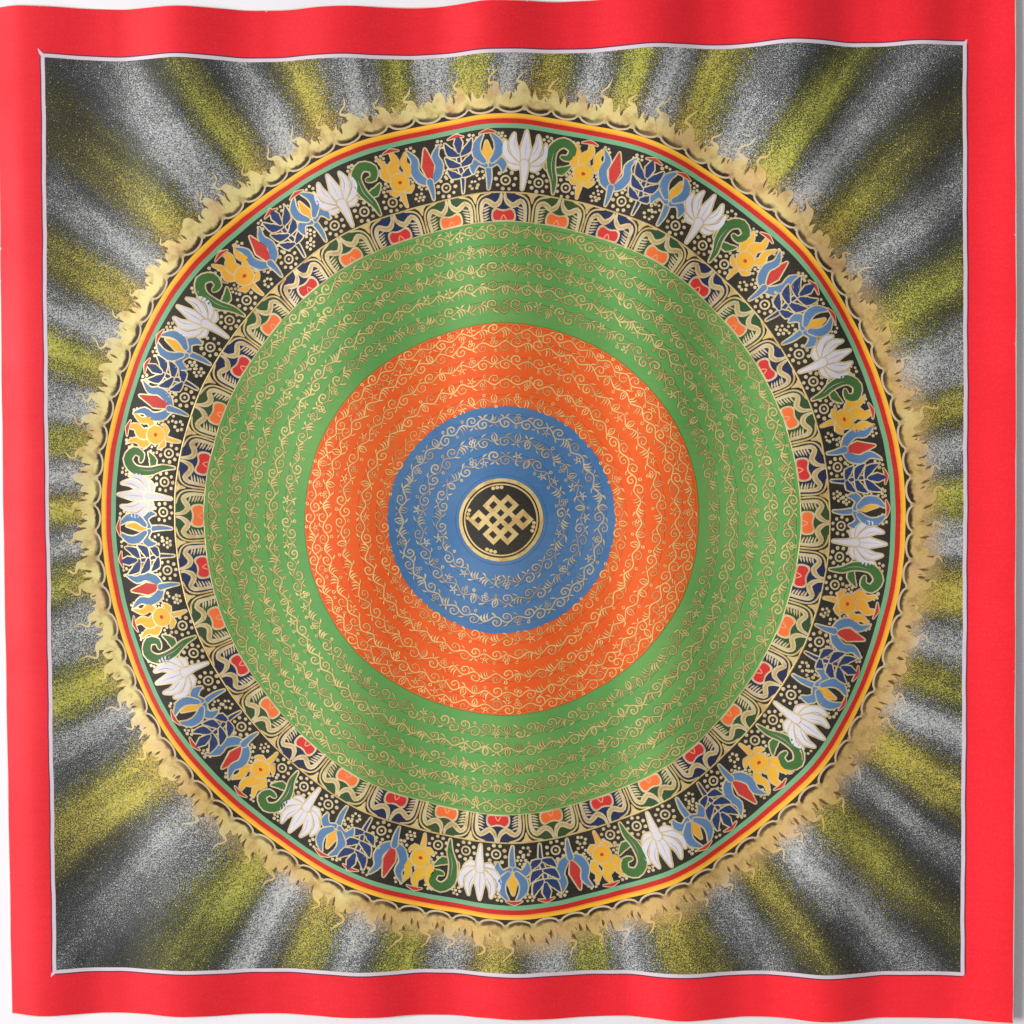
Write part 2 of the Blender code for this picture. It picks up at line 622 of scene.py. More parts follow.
class Shading:
    """Puts nodes into one tree. Each input is a plain value, a screen colour or another node's output."""

    def __init__(self, tree):
        self.tree = tree

    def put(self, value, socket):
        if isinstance(value, Wire):
            self.tree.links.new(value.socket, socket)
        else:
            socket.default_value = srgb(*value) if socket.type == "RGBA" else value

    def node(self, kind, inputs, **settings):
        """Adds a node, and returns its outputs by number and by name."""
        made = self.tree.nodes.new("ShaderNode" + kind)
        for name, value in settings.items():
            setattr(made, name, value)
        for name, value in inputs.items():
            self.put(value, made.inputs[name])
        return {key: Wire(self, out) for number, out in enumerate(made.outputs) for key in (number, out.name)}

    def math(self, operation, *values, clamp=False):
        return self.node("Math", dict(enumerate(values)), operation=operation, use_clamp=clamp)[0]

    def blend(self, share, first, second):
        """Mixes two colours."""
        return self.node("Mix", {0: share, 6: first, 7: second}, data_type="RGBA")[2]

    def noise(self, place, scale, detail=3.0, rough=0.6, stretch=None):
        if stretch:
            place = self.node("Mapping", {"Vector": place, "Scale": stretch})[0]
        inputs = {"Vector": place, "Scale": scale, "Detail": detail, "Roughness": rough}
        return self.node("TexNoise", inputs)["Fac"]

    def step(self, value, low, high, start=0.0, end=1.0):
        """A mask that goes smoothly from start to end as the value goes from low to high."""
        inputs = {"Value": value, "From Min": low, "From Max": high, "To Min": start, "To Max": end}
        return self.node("MapRange", inputs, interpolation_type="SMOOTHSTEP")[0]

    def parts(self, place):
        return self.node("SeparateXYZ", {"Vector": place})

    def chance(self, number):
        """A random value from 0 to 1 for each number."""
        return self.node("TexWhiteNoise", {"W": number}, noise_dimensions="1D")["Value"]

    def use(self, effect, **inputs):
        """Puts in a shared effect, as a node group that is built when it is first wanted."""
        if effect not in GROUPS:
            GROUPS[effect] = group_of(effect, inputs)
        return self.node("Group", inputs, node_tree=GROUPS[effect])


# What goes into and comes out of the effects as a plain value. The rest are colours, but for the place.
VALUES = ("thread", "cloud", "streaks", "worn", "height", "gap", "roughness", "metal", "cover")


def group_of(effect, inputs):
    """A node group with a socket for each input and for each thing that the effect works out."""
    tree = bpy.data.node_groups.new(effect.__name__.replace("_", " "), "ShaderNodeTree")

    def add_sockets(names, way):
        for name in names:
            kind = "Vector" if name == "place" else "Float" if name in VALUES else "Color"
            tree.interface.new_socket(name=name, in_out=way, socket_type="NodeSocket" + kind)

    add_sockets(inputs, "INPUT")
    shade = Shading(tree)
    given = tree.nodes.new("NodeGroupInput").outputs
    made = effect(shade, **{name: Wire(shade, given[name]) for name in inputs})
    add_sockets(made, "OUTPUT")
    result = tree.nodes.new("NodeGroupOutput").inputs
    for name, value in made.items():
        shade.put(value, result[name])
    return tree


def cotton_weave(shade, place, thread):
    """Plain weave: threads over and under in turn, some thicker than others."""
    waver = (shade.noise(place, 90, 2, 0.5) - 0.5) * 0.0006
    parts = shade.parts(place)
    waves = [shade.math("SINE", (parts[axis] + waver) / thread * pi) for axis in (0, 1)]
    over = waves[0] * waves[1] * 0.5 + 0.5
    warp = shade.math("ABSOLUTE", waves[0]) * over
    weft = shade.math("ABSOLUTE", waves[1]) * (1 - over)
    height = shade.math("MAXIMUM", warp, weft)
    slub = shade.noise(place, 260, 1, 0.5, stretch=(0.12, 1, 1))
    return dict(height=(slub - 0.5) * 0.5 + height, gap=1 - shade.step(height, 0.05, 0.45))


def brushed_gouache(shade, place, colour, thin, cloud, streaks):
    """Hand-laid gouache: cloudy tone, faint brush streaks, chalky grain and specks of the ground."""
    clouds = shade.noise(place, 16, 4, 0.55)
    fine = shade.noise(place, 900)
    brushed = shade.noise(place, 55, stretch=(1, 7, 1))
    share = shade.step(clouds, 0.36, 0.66) * cloud + shade.step(brushed, 0.42, 0.66) * streaks
    toned = shade.blend(share, colour, thin)
    return dict(
        colour=shade.blend(shade.step(fine, 0.45, 0.75) * 0.018, toned, (243.5, 241, 236)),
        roughness=fine * 0.16 + clouds * 0.24 + 0.42,
        height=fine * 0.6 + brushed * 0.5,
    )


def gold_paint(shade, place, bright, dull, worn):
    """Ground gold in glue: bright where it lies thick, browner where the brush ran dry, with a painted glint
    on its flakes.
    """
    patches = shade.noise(place, 150)
    flakes = shade.noise(place, 1500, 2)
    dry = shade.step(patches, 0.46, 0.68) * worn
    shaded = shade.blend(dry, bright, dull)
    return dict(
        # Painted glint: some flakes are mixed towards a pale gold, as a highlight.
        colour=shade.blend(shade.step(flakes, 0.55, 0.75, 0.0, 0.30), shaded, (255, 247.3, 217.8)),
        metal=0.26 - dry * 0.18,
        roughness=flakes * 0.20 + 0.42,
        height=flakes * 0.5 + patches,
    )


# How strongly paint shines, and gold or bare cloth
MATT = 0.28
PLAIN = 0.5
# How deep the grain of each surface is, and how thick a thread, in metres
PAINT_GRAIN = 0.00003
GOLD_GRAIN = 0.00004
SPRAY_GRAIN = 0.00006
RUBBED_GRAIN = 0.00004
WEAVE_GRAIN = 0.00012
THREAD = 0.00046


class Material(Shading):
    """A material for something drawn flat, which knows the flat place of each of its points."""

    def __init__(self, name, flat=True):
        self.material = bpy.data.materials.new(name)
        self.material.use_nodes = True
        super().__init__(self.material.node_tree)
        if flat:
            self.place = self.node("Attribute", {}, attribute_name="drawn_at")["Vector"]
        else:
            self.place = self.node("TexCoord", {})["Object"]

    def finish(self, colour, roughness, height=None, depth=0.0, metal=0.0, shine=MATT):
        """Gives the material's shader what was worked out for it."""
        looks = {"Base Color": colour, "Roughness": roughness, "Metallic": metal, "Specular IOR Level": shine}
        if height:
            looks["Normal"] = self.node("Bump", {"Height": height, "Distance": depth, "Strength": 1.0})[0]
        for name, value in looks.items():
            self.put(value, self.tree.nodes["Principled BSDF"].inputs[name])
        return self.material

    def brushed(self, colour, thin, cloud, streaks):
        tones = dict(colour=colour, thin=thin, cloud=cloud, streaks=streaks)
        return self.use(brushed_gouache, place=self.place, **tones)

    def gouache(self, *tones):
        paint = self.brushed(*tones)
        return self.finish(paint["colour"], paint["roughness"], paint["height"], PAINT_GRAIN)


def gouache(name, colour, thin, cloud=0.35):
    return Material(name).gouache(colour, thin, cloud, 0.25)


# Height over the film up to which a gold stroke's edge takes the edge colour
EDGE_TONE_HEIGHT = 0.088


def gilding(name, bright, dull, worn=0.8, edge=None, film=0.0):
    """Brushed gold. With an edge colour, strokes on a film turn that colour near their foot, where they stand
    lowest over the film.
    """
    made = Material(name)
    paint = made.use(gold_paint, place=made.place, bright=bright, dull=dull, worn=worn)
    colour = paint["colour"]
    if edge:
        foot = (CLOTH + film) * MM
        thin = made.step(made.parts(made.place)[2], foot, foot + EDGE_TONE_HEIGHT * MM, 1.0, 0.0)
        colour = made.blend(thin, colour, edge)
    return made.finish(colour, paint["roughness"], paint["height"], GOLD_GRAIN, paint["metal"], PLAIN)


def mandala_place(shade, place):
    """Distance from the mandala's centre, and angle clockwise from its top in turns, at each point."""
    parts = shade.parts(place)
    right, up = (parts[axis] - MANDALA_CENTRE[axis] * MM for axis in (0, 1))
    return shade.math("SQRT", right * right + up * up), shade.math("ARCTAN2", right, up) / (2 * pi)


RAYS = 31
# The rays stand wider apart towards the corners, and a hand spaced them: near an angle, narrowly or widely
# round it, they are pushed on by so many degrees. A sharpness of 0 moves them all.
CORNER_SPREAD = 0.0062
RAY_PUSHES = [
    (0, 0, 2.2),
    (262, 3, 9.0),
    (125, 2, -3.2),
    (48, 8, -6.6),
    (112, 16, 3.2),
    (152, 30, -3.8),
    (235, 6, -2.2),
]
# Droplets of two sizes stand this far apart, in metres
DROPLETS = (0.00040, 0.00070)


def sprayed_rays(shade, place, ground, white, yellow, amber):
    """Spatter of white and yellow paint off a brush, thick along soft rays and thin between them."""
    radius, turn = mandala_place(shade, place)
    angle = turn * (2 * pi)
    heading = shade.node("CombineXYZ", {"X": shade.math("SINE", angle), "Y": shade.math("COSINE", angle)})[0]
    bent = shade.math("SINE", angle * 4.0) * CORNER_SPREAD + turn
    for side, sharpness, push in RAY_PUSHES:
        towards = shade.math("COSINE", angle - radians(side))
        bent = shade.math("MAXIMUM", towards, 0.0) ** sharpness * (-push / 360) + bent
    bent = (shade.noise(heading, 2, 2, 0.5) - 0.5) * 0.028 + bent
    bent = (shade.noise(place, 9, 2, 0.5) - 0.5) * 0.010 + bent
    blotches = shade.noise(place, 34, 4)
    streaks = shade.noise(shade.node("CombineXYZ", {"X": bent * 110.0, "Y": radius * 9.0})[0], 1)
    strengths = []
    for shift, sharpness in ((0.0, 1.9), (0.5, 2.1)):
        phase = bent * RAYS + shift
        swell = (shade.math("COSINE", phase * (2 * pi)) * 0.5 + 0.5) ** sharpness
        number = shade.math("FLOORED_MODULO", shade.math("FLOOR", phase + 0.5), RAYS)
        strengths.append(swell * (shade.chance(number + (7.0 + shift)) * 0.5 + 0.66))
    whites = strengths[0]
    both = whites + strengths[1] * shade.step(radius, 0.240, 0.320, 1.0, 0.62)
    uneven = shade.step(blotches, 0.3, 0.7, 0.75, 1.12) * shade.step(streaks, 0.3, 0.7, 0.55, 1.28)
    rayed = both * uneven * shade.step(radius, 0.235, 0.315, 0.92, 0.48)
    thick = rayed * 0.75 + shade.step(radius, 0.203, 0.265, 0.20, 0.05)
    cover = thick * 0.12
    for spacing in DROPLETS:
        cells = shade.node("TexVoronoi", {"Vector": place, "Scale": 1 / spacing}, voronoi_dimensions="2D")
        chance = shade.node("SeparateColor", {"Color": cells["Color"]})
        size = thick * (chance[0] * 0.80 + 0.16) + shade.step(chance[1], 0.95, 1.0, 0.0, 0.22)
        drop = shade.step(size - cells["Distance"], -0.07, 0.07)
        cover = shade.math("MAXIMUM", cover, drop * (chance[1] * 0.4 + 0.52))
    mingled = chance[2] - 0.5 + whites / shade.math("MAXIMUM", both, 0.001)
    warm = shade.blend(shade.step(shade.noise(heading, 3.1, 1, 0.5), 0.42, 0.62), yellow, amber)
    paint = shade.blend(shade.step(mingled, 0.35, 0.65), warm, white)
    return dict(colour=shade.blend(cover, ground, paint), cover=cover, height=blotches * 0.4 + cover)


def hazy_spray(shade, ground):
    """Sprayed rays over a ground. At their feet, mostly to the lower right, they end in a tan haze."""
    place = shade.place
    radius, _ = mandala_place(shade, place)
    parts = shade.parts(place)
    slope = parts[0] - parts[1]
    drifted = (shade.noise(place, 22) - 0.5) * 0.018 + radius
    beyond = shade.step(radius, 0.212, 0.235)
    spray = shade.use(
        sprayed_rays,
        place=place,
        ground=ground,
        white=shade.blend(beyond, (214, 212, 207), (206, 206, 205)),
        yellow=shade.blend(beyond, (208, 192, 80), (206, 204, 84)),
        amber=shade.blend(beyond, (218, 186, 80), (214, 198, 82)),
    )
    haze = shade.step(drifted, 0.2095, 0.2225, 1.0, 0.0) * shade.step(slope, -0.12, 0.22, 0.12, 0.72)
    return shade.blend(haze, spray["colour"], (200, 164, 108)), spray, drifted, slope


def ray_ground():
    """The dark ground: slate, brown and green blacks that run into each other under the spray."""
    made = Material("spattered ground")
    place = made.place
    dark = made.blend(made.step(made.noise(place, 7), 0.40, 0.62), (17, 20, 27), (28, 22, 17))
    greens = made.noise(place, 11, stretch=(-1, 1, 1))
    dark = made.blend(made.step(greens, 0.48, 0.66), dark, (20, 27, 23))
    radius, _ = mandala_place(made, place)
    dark = made.blend(made.step(radius, 0.235, 0.295, 0.0, 0.65), dark, (20, 20, 30))
    paint = made.brushed(dark, (40, 40, 37), 0.5, 0.3)
    colour, spray, _, _ = hazy_spray(made, paint["colour"])
    return made.finish(colour, spray["cover"] * 0.12 + 0.56, spray["height"], SPRAY_GRAIN)


def worn_border():
    """The red border, with painted light towards the right and the bottom, and its ground showing where the
    cut edge has been rubbed.
    """
    made = Material("red border paint")
    place = made.place
    parts = made.parts(place)
    # Painted light: the red is mixed brighter towards the right and the bottom, where light falls more fully
    # on the cloth.
    painted_light_share = made.step(parts[1] * -0.4 + parts[0], 0.0, 0.3)
    thick = made.blend(painted_light_share, (232, 29, 45), (250, 36, 50))
    thin = made.blend(painted_light_share, (222, 24, 38), (242, 32, 45))
    paint = made.brushed(thick, thin, 0.7, 0.35)
    far = made.math("MAXIMUM", made.math("ABSOLUTE", parts[0]), made.math("ABSOLUTE", parts[1]))
    rubbed = made.step(made.noise(place, 130, rough=0.65), 0.60, 0.80, 0.0, 0.0022)
    bare = made.step(rubbed - (CUT_WIDTH / 2 - far), -0.0002, 0.0003)
    colour = made.blend(bare, paint["colour"], (226, 206, 200))
    roughness = bare * 0.2 + paint["roughness"]
    return made.finish(colour, roughness, paint["height"] - bare, RUBBED_GRAIN)


def shaded_yellow():
    """The yellow ring, worked wet into orange along its inner edge."""
    made = Material("yellow ring paint")
    radius, _ = mandala_place(made, made.place)
    tone = made.blend(made.step(radius, 0.1994, 0.2014), (228, 108, 26), (246, 182, 44))
    return made.gouache(tone, (246, 188, 74), 0.3, 0.2)


def primed_cotton():
    """Unpainted cloth: chalk ground in its weave, and threads bare behind."""
    made = Material("primed cotton")
    weave = made.use(cotton_weave, place=made.place, thread=THREAD)
    stains = made.noise(made.place, 11, 4)
    thread = made.blend(made.step(stains, 0.35, 0.7), (222, 213, 198), (208, 197, 178))
    # Painted shade: the gaps between the threads are darkened towards brown.
    colour = made.blend(weave["gap"] * 0.55, thread, (150, 138, 120))
    return made.finish(colour, stains * 0.1 + 0.82, weave["height"], WEAVE_GRAIN, shine=PLAIN)


def flame_gold():
    """Gold that is thin and smoky along each scallop, paler to the upper left as painted light and tan to the
    lower right as painted shade, with spray on its far edge.
    """
    made = Material("flame gold")
    place = made.place
    radius, turn = mandala_place(made, place)
    along = turn * SCALLOPS + SCALLOPS
    phase = made.math("FRACT", along)
    arc = phase * (1 - phase) * 4.0
    over = radius - (SCALLOP_CUSP * MM - arc**SCALLOP_ROUNDNESS * (SCALLOP_SAG * MM))
    chance = made.chance(made.math("FLOOR", along))
    strong = (phase - 0.5) * (chance - 0.4) * 2.0 + (chance * 0.5 + 0.75)
    full = made.noise(place, 260) * 0.0028 + 0.0002
    far = made.noise(place, 150) * 0.0034 + full
    burnt = made.step(over, full, far, 1.0, 0.0) * made.step(arc, 0.15, 0.6, 0.2, 1.0)
    smoke = made.math("MULTIPLY", burnt, strong, clamp=True)
    parts = made.parts(place)
    # Painted light and shade: the gold is mixed pale towards the upper left and tan towards the lower right,
    # for the light from the left.
    thin = made.step((made.noise(place, 34) - 0.5) * 1.3 + (parts[0] - parts[1]), -0.28, 0.22)
    ruddy = made.step(made.noise(place, 58), 0.46, 0.64, 0.0, 0.7)
    bright = made.blend(ruddy, made.blend(thin, (217, 199, 132), (205, 169, 101)), (207, 167, 115))
    dull = made.blend(ruddy, made.blend(thin, (184, 158, 92), (168, 132, 76)), (182, 136, 90))
    paint = made.use(gold_paint, place=place, bright=bright, dull=dull, worn=0.85)
    smoky = made.blend(smoke * 0.96, paint["colour"], (36, 18, 9))
    hazy, _, drifted, slope = hazy_spray(made, smoky)
    dusted = made.step(drifted, 0.2090, 0.2180) * made.step(slope, -0.20, 0.25, 0.45, 0.95)
    metal = paint["metal"] * made.math("SUBTRACT", 0.4, smoke, clamp=True)
    colour = made.blend(dusted, smoky, hazy)
    return made.finish(colour, paint["roughness"] + 0.12, paint["height"], PAINT_GRAIN, metal)


# The cloth

CLOTH_COLUMNS = 232
CLOTH_ROWS = 44
# The cut edges are rounded by this much. The short edges through the thickness, up to the other, are not.
EDGE_ROUNDING = 0.0002
THROUGH_THICKNESS = 0.0011
# Edges that turn by more than so many radians are on the rim
RIM_TURN = 1.0


def canvas_sheet():
    drawing = bmesh.new()
    bmesh.ops.create_grid(drawing, x_segments=CLOTH_COLUMNS, y_segments=CLOTH_ROWS, size=CUT_WIDTH / 2)
    for vertex in raised(drawing):
        vertex.co.z = CLOTH * MM
    rim = [
        edge
        for edge in drawing.edges
        if edge.calc_face_angle(0.0) > RIM_TURN and edge.calc_length() > THROUGH_THICKNESS
    ]
    bmesh.ops.bevel(
        drawing, geom=rim, offset=EDGE_ROUNDING, offset_type="OFFSET",
        segments=2, profile=0.5, affect="EDGES", material=-1,
    )
    return lay_down("canvas_sheet", drawing, primed_cotton(), painted=False)


sheet = canvas_sheet()

# Films of paint, from the ground up: how high each lies over the cloth

TOP = dict(
    border=0.05, ground=0.05, band=0.10, rings=0.15, petals=0.14,
    green=0.20, orange=0.23, blue=0.26, roundel=0.29,
)

# Radii of the discs and rings
ROUNDEL = 20.8
BLUE = 57.2
ORANGE = 98.4
GREEN = 148.9
PETALS = 163.2
BAND = 195.1
MINT = 197.4
RED = 199.8
YELLOW = 202.3
BED = 209.6
# How far films and ring lines reach under the next one, and how much higher each ring line lies
LAP = 0.6
RING_LAP = 0.2
RING_LIFT = 0.02
# Half the sides of the ground, and of the border outside and inside
GROUND_HALF = 230.6
BORDER_HALF = 254.6
BORDER_HOLE = 230.2

night = gouache("black ground", (38, 33, 27), (55, 48, 38), cloud=0.6)
leaf_green = gouache("green paint", (88, 149, 74), (106, 157, 80), cloud=0.9)
flame_orange = gouache("orange paint", (228, 84, 18), (231, 99, 32), cloud=0.6)
sky_blue = gouache("blue paint", (60, 106, 152), (82, 118, 158), cloud=0.7)
mint = gouache("mint paint", (112, 166, 122), (130, 174, 130))
ring_red = gouache("red ring paint", (190, 32, 24), (202, 50, 32))
square_film("ray_ground", KEYLINE_CENTRE, GROUND_HALF, TOP["ground"], ray_ground(), covered=BED - 1.0)
square_film("red_border", (0.0, 0.0), BORDER_HALF, TOP["border"], worn_border(), hole=BORDER_HOLE)
disc_film("band_ground", BED, TOP["band"], night, PETALS - LAP)
disc_film("petal_ground", PETALS, TOP["petals"], night, GREEN - LAP)
disc_film("green_disc", GREEN, TOP["green"], leaf_green, ORANGE - LAP)
disc_film("orange_disc", ORANGE, TOP["orange"], flame_orange, BLUE - LAP)
disc_film("blue_disc", BLUE, TOP["blue"], sky_blue, ROUNDEL - 2 * LAP)
disc_film("roundel", ROUNDEL - LAP, TOP["roundel"], night)
ring_film("mint_ring", BAND, MINT + RING_LAP, TOP["rings"], mint)
ring_film("red_ring", MINT, RED + RING_LAP, TOP["rings"] + RING_LIFT, ring_red)
ring_film("yellow_ring", RED, YELLOW, TOP["rings"] + 2 * RING_LIFT, shaded_yellow())

# Line work

gold = gilding("brushed gold", (212, 184, 120), (180, 140, 76))


def mirrored(points):
    return [(-x, y) for x, y in points]


# Rows of running vine. Each bend of the stem holds one motif in its hollow and one on its back: their
# strokes with their widths, and their rings
def motif(*lines, rings=()):
    return lines, rings


CURL = motif((
    [
        (-2.5, 0.1), (-2.6, -1.8), (-1.2, -3.1), (0.8, -2.9),
        (1.5, -1.4), (0.5, -0.4), (-0.7, -0.9), (-0.4, -1.8),
    ],
    [0.9, 1, 1.1, 1.1, 1, 0.9, 0.8, 0.8],
))
LEAVES = motif(
    ([(-1.9, 0.6), (-0.8, -1), (-0.9, -3.3)], [0.7, 1.3, 0.3]),
    ([(-0.8, 1), (0.5, -0.6), (0.7, -2.6)], [0.7, 1.4, 0.3]),
    ([(0.6, 1.1), (1.9, 0), (2.2, -1.7)], [0.7, 1.3, 0.3]),
)
FLOWER = motif(
    ([(-0.2, 1.2), (-0.3, -0.4)], [0.8, 0.8]),
    ([(-0.8, -1.6), (-1.9, -1), (-2.3, -0.6)], [0.7, 1.3, 0.5]),
    ([(-0.8, -2.1), (-1.6, -2.9), (-1.9, -3.4)], [0.7, 1.3, 0.5]),
    ([(0.3, -2.2), (0.6, -3.1), (0.7, -3.6)], [0.7, 1.3, 0.5]),
    ([(0.5, -1.4), (1.6, -1.3), (2.2, -1.2)], [0.7, 1.3, 0.5]),
    rings=[((-0.2, -1.5), 0.75)],
)
BERRIES = motif(
    ([(-0.9, 1.1), (-0.7, 0)], [0.7, 0.7]),
    ([(0.6, 1.1), (1, -0.3)], [0.7, 0.7]),
    rings=[((-0.8, -0.9), 0.75), ((1.1, -1.2), 0.75), ((0, -2.7), 0.75)],
)
BUD = motif(
    ([(0, 1.2), (-1.2, -0.5), (-0.9, -2.2), (0.2, -3.4)], [0.7, 1, 1, 0.4]),
    ([(0, 1.2), (1.3, -0.3), (1.2, -2.1), (0.2, -3.4)], [0.7, 1, 1, 0.4]),
    ([(0.1, 0.2), (0.1, -1.9)], [0.9, 0.6]),
)
LEAF = motif(([(-0.4, 1.6), (0.9, 2.7), (2.4, 3.1)], [0.6, 1.3, 0.3]))
TWO_LEAVES = motif(
    ([(0.2, 1.6), (1.2, 2.8), (2.3, 3.3)], [0.6, 1.2, 0.3]),
    ([(-0.4, 1.6), (-1.5, 2.5), (-2.5, 2.9)], [0.6, 1.2, 0.3]),
)
BERRY = motif(([(0, 1.4), (0.3, 2.2)], [0.6, 0.6]), rings=[((0.5, 3), 0.65)])
HOLLOWS = [CURL, CURL, CURL, CURL, LEAVES, LEAVES, FLOWER, BERRIES, BUD]
BACKS = [LEAF, LEAF, TWO_LEAVES, BERRY]
BEND = 5.5
BEND_STATIONS = 5
SWING = 1.3
VINE_STEP = 1.3
VINE_SHAKE = 0.15
# Width of a motif's ring, as a share of its row's, and its corners
RING_WIDTH = 0.75
RING_CORNERS = 8


def shaken(rng, points, right, up):
    """Points moved about at random by no more than these reaches."""
    return [(x + rng.uniform(-right, right), y + rng.uniform(-up, up)) for x, y in points]


def vine_row(brush, radius, seed, thickness):
    """A stem that swings to and fro right round the mandala, with its motifs."""
    rng = Random(seed)
    bends = 2 * round(pi * radius / BEND)
    stations = np.arange(BEND_STATIONS * bends) / (BEND_STATIONS * bends)
    swings = np.repeat([SWING * rng.uniform(0.75, 1.2) for _ in range(bends)], BEND_STATIONS)
    stem = polar(radius + swings * np.sin(pi * bends * stations), 2 * pi * stations)
    brush.add(on_sheet(stem), np.full(len(stem), thickness), True)
    for bend in range(bends):
        side = 1 if bend % 2 == 0 else -1
        place = around(radius, 360 * (bend + 0.5) / bends, lean=rng.uniform(-0.15, 0.15))
        for lines, rings in (rng.choice(HOLLOWS), rng.choice(BACKS)):
            for points, widths in lines:
                drawn = shaken(rng, [(x, side * y) for x, y in points], VINE_SHAKE, VINE_SHAKE)
                heavier = thickness * rng.uniform(0.9, 1.12)
                brush.line(place, drawn, [heavier * width for width in widths], step=VINE_STEP)
            for (x, y), reach in rings:
                radius_drawn = reach * rng.uniform(0.9, 1.1)
                brush.ring(place, (x, side * y), radius_drawn, RING_WIDTH * thickness, RING_CORNERS)


# For each disc: the radii of its rows, the thickness of their strokes, their gold where it is bright and dull
# and the colour at their edges, the two tones of the lines scored for them, and the radius of the line round
# the disc inside
ROWS = dict(
    green=(
        [106.8, 116.1, 125.6, 134.9, 144.3],
        1.75,
        [(197, 186, 113), (166, 150, 82), (96, 88, 36)],
        [(84, 90, 36), (94, 106, 44)],
        ORANGE + 0.25,
    ),
    orange=(
        [60.2, 69.4, 79.2, 88.0, 94.6],
        1.3,
        [(246, 190, 112), (226, 152, 82), (156, 68, 20)],
        [(160, 72, 22), (182, 82, 28)],
        BLUE + 0.25,
    ),
    blue=(
        [31.2, 40.8, 50.2],
        1.65,
        [(187, 177, 158), (156, 148, 136), (70, 74, 92)],
        [(44, 74, 112), (56, 88, 126)],
        22.7,
    ),
)
GUIDE_WIDTH = 0.7
GUIDE_OVER_ROW = 2.6
for number, (colour, (radii, thickness, (bright, dull, edge), scored, inner_edge)) in enumerate(ROWS.items()):
    rows, guides = Brush(), Brush()
    guides.full_circle(inner_edge, GUIDE_WIDTH)
    for count, radius in enumerate(radii):
        vine_row(rows, radius, 100 * number + count, thickness)
        guides.full_circle(radius + GUIDE_OVER_ROW, GUIDE_WIDTH)
    guides.lay(f"{colour}_guide_lines", gouache(f"scored {colour}", *scored), TOP[colour], 0.03, lift=0.0)
    row_gold = gilding(f"gold on {colour}", bright, dull, edge=edge, film=TOP[colour])
    rows.lay(f"{colour}_vine_rows", row_gold, TOP[colour], 0.07)

edge_lines = Brush()
for radius in (GREEN, PETALS):
    edge_lines.full_circle(radius + 0.2, 1.0)
edge_lines.lay("gold_edge_lines", gold, TOP["petals"], 0.15)

# Roundel with its endless knot, on a grid of its own whose lines run slantwise

KNOT_STEP = 5.4
KNOT_WIDTH = 2.3
KNOT_REACH = 1.85
DAB_RADIUS = 16.3
DAB_STEP = 7.2


def on_knot(points):
    points = np.atleast_2d(points) * KNOT_STEP / 2**0.5
    slanted = np.stack([points[:, 0] - points[:, 1], points[:, 0] + points[:, 1]], axis=1)
    return on_sheet(slanted + MANDALA_CENTRE)


roundel = Brush()
roundel.full_circle(ROUNDEL - 0.8, 1.9)
roundel.full_circle(ROUNDEL - 2.9, 0.8)
for line in (-1, 0, 1):
    roundel.straight(on_knot, [(line, -KNOT_REACH), (line, KNOT_REACH)], KNOT_WIDTH)
    roundel.straight(on_knot, [(-KNOT_REACH, line), (KNOT_REACH, line)], KNOT_WIDTH)
for a, b in ((0, 0.9), (0.9, 0), (-1, -1.9), (-1.9, -1), (-1.9, 0.9), (0.9, -1.9)):
    roundel.straight(on_knot, [(a, b), (a + 1, b), (a + 1, b + 1), (a, b + 1)], KNOT_WIDTH, closed=True)
for middle in (-6, 103, 197, 281):
    for dab in (-1, 0, 1):
        roundel.dot(on_sheet, polar(DAB_RADIUS, radians(middle + DAB_STEP * dab)), 2.0)
roundel.lay("gold_roundel", gold, TOP["roundel"], 0.12, flat=True)

# Ring of lotus petals, blue and green in turn

PETAL_COUNT = 36
# The first petal stands this share of a petal past the top
PETAL_START = 0.1
PETAL_LIFT = 0.0016


def closed_by_mirror(half):
    """A closed outline from its right half, which runs from the bottom up to the middle."""
    return [*half, *mirrored(reversed(half))]


PETAL_FIELD = closed_by_mirror([
    (11.6, -1.6), (12.3, -1.2), (12.3, 3.4), (12.2, 7.6), (11.2, 11.2), (8.8, 13.4), (5, 14.3), (1.6, 14.3),
])
CUSHION = closed_by_mirror([(5, 0.1), (5.7, 1), (5.9, 3.4), (5.2, 6), (3.4, 6.9), (1.2, 6.1)])
CUSHION_HEART = closed_by_mirror([(4.2, 0.9), (4.8, 1.6), (5, 3.4), (4.3, 5.3), (3.2, 6), (1, 5.2)])
PETAL_RIM = [(12.3, 0.2), (12.3, 7.2), (11.4, 10.8), (9.2, 13), (5.4, 14.1)]
PETAL_CURL = [
    (0.7, 14), (0.9, 11.8), (2, 9.4), (4, 8.2), (6, 9.2), (8, 10.6), (9.8, 9), (10.4, 5.4), (10.4, 0.3),
]
PETAL_CURL_WIDTHS = [1.3, 1.8, 2.7, 3, 2.9, 2.7, 2.3, 1.8, 1.6]
PETAL_TEETH = 5

crimson = gouache("crimson paint", (186, 50, 42), (202, 66, 52))
pale_gold = gilding("pale gold", (210, 190, 146), (180, 150, 98), worn=0.75)
# Each brush of the petals: its piece, its paint and its height over their ground
PETAL_LEVELS = dict(
    green=("green_petal_fields", gouache("leaf green paint", (58, 72, 36), (44, 78, 44), cloud=1.0), 0.025),
    blue=("blue_petal_fields", gouache("dark blue paint", (38, 36, 58), (30, 44, 82), cloud=1.0), 0.025),
    gold=("petal_gold_frames", gold, 0.09),
    curls=("petal_curls", pale_gold, 0.10),
    cores=("petal_curl_cores", gilding("curl gold", (196, 166, 104), (166, 134, 74)), 0.14),
    rims=("cushion_outlines", pale_gold, 0.13),
    orange=("orange_petal_cushions", gouache("petal orange paint", (230, 104, 44), (236, 120, 60)), 0.16),
    crimson=("crimson_petal_cushions", gouache("petal red paint", (198, 44, 44), (210, 56, 48)), 0.16),
    marks=("petal_cushion_marks", gouache("salmon paint", (236, 152, 108), (224, 132, 92)), 0.20),
)
petal_brushes = {name: Brush() for name in PETAL_LEVELS}


